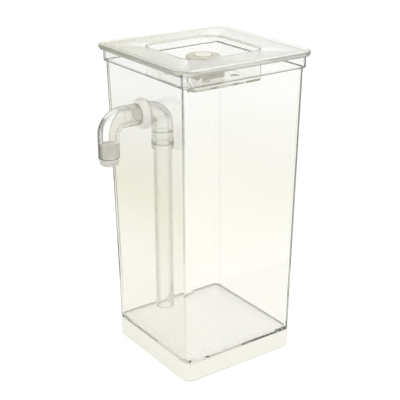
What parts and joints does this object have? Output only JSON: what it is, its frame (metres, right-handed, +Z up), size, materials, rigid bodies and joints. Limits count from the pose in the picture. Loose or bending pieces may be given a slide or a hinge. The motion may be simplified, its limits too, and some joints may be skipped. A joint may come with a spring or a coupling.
{
  "type": "self-cleaning fish tank",
  "caption": "Tall square clear fish tank on a low plinth, with a well and a lamp in its lid, and a siphon that drains through the wall when water is poured in.",
  "frame": {"origin": "on the surface that the plinth stands on, below the middle of the tank", "axes": "+Z up, -X towards the drain spout, -Y towards the side that the battery drawer opens to"},
  "size_m": [0.1478, 0.117, 0.24],
  "materials": {
    "white": "warm white, smooth moulding",
    "clear": "clear, polished",
    "lid": "clear, pale frosted",
    "silicone": "frosted, translucent grey",
    "lamp_grey": "satin grey-beige",
    "button_ivory": "smooth ivory",
    "drawer_brown": "satin dark brown",
    "rubber": "matte dark grey",
    "board": "green circuit board",
    "black": "matte black",
    "led": "pale, translucent",
    "steel": "bright steel"
  },
  "bodies": {
    "tank": {"base_plinth": "white", "tank_body": "clear", "wall_grommet": "silicone", "inner_elbow": "clear", "intake_seal": "silicone"},
    "intake": {"intake_tube": "clear"},
    "spout": {"spout_elbow": "clear", "spout_seal": "silicone"},
    "stopper": {"drain_stopper": "silicone"},
    "lid": {"lid": "lid", "lamp_housing": "lamp_grey", "lamp_base": "lamp_grey", "lamp_gasket": "rubber", "light_lens": "clear", "lamp_board": "board", "push_switch": "black", "led": "led", "led_resistor": "black", "cell_contact_left": "steel", "cell_contact_right": "steel", "lamp_screw_left": "steel", "lamp_screw_right": "steel"},
    "button": {"lamp_button": "button_ivory"},
    "drawer": {"battery_drawer": "drawer_brown", "button_cell_left": "steel", "button_cell_right": "steel", "cell_bridge": "steel"}
  },
  "joints": [
    {"name": "lid_lift", "type": "slide", "parent": "tank", "child": "lid", "axis": [0, 0, 1], "range_m": [0, 0.045]},
    {"name": "button_press", "type": "slide", "parent": "lid", "child": "button", "axis": [0, 0, -1], "range_m": [0, 0.001], "stiffness_N_per_m": 400},
    {"name": "drawer_pull", "type": "slide", "parent": "lid", "child": "drawer", "axis": [0, -1, 0], "range_m": [0, 0.009]},
    {"name": "spout_swivel", "type": "hinge", "parent": "tank", "child": "spout", "pos_m": [-0.05207, 0, 0.1988], "axis": [1, 0, 0], "range_deg": [-90, 90]},
    {"name": "stopper_pull", "type": "slide", "parent": "spout", "child": "stopper", "axis": [0, 0, -1], "range_m": [0, 0.02]},
    {"name": "intake_pull", "type": "slide", "parent": "tank", "child": "intake", "axis": [0, 0, -1], "range_m": [0, 0.02]}
  ]
}
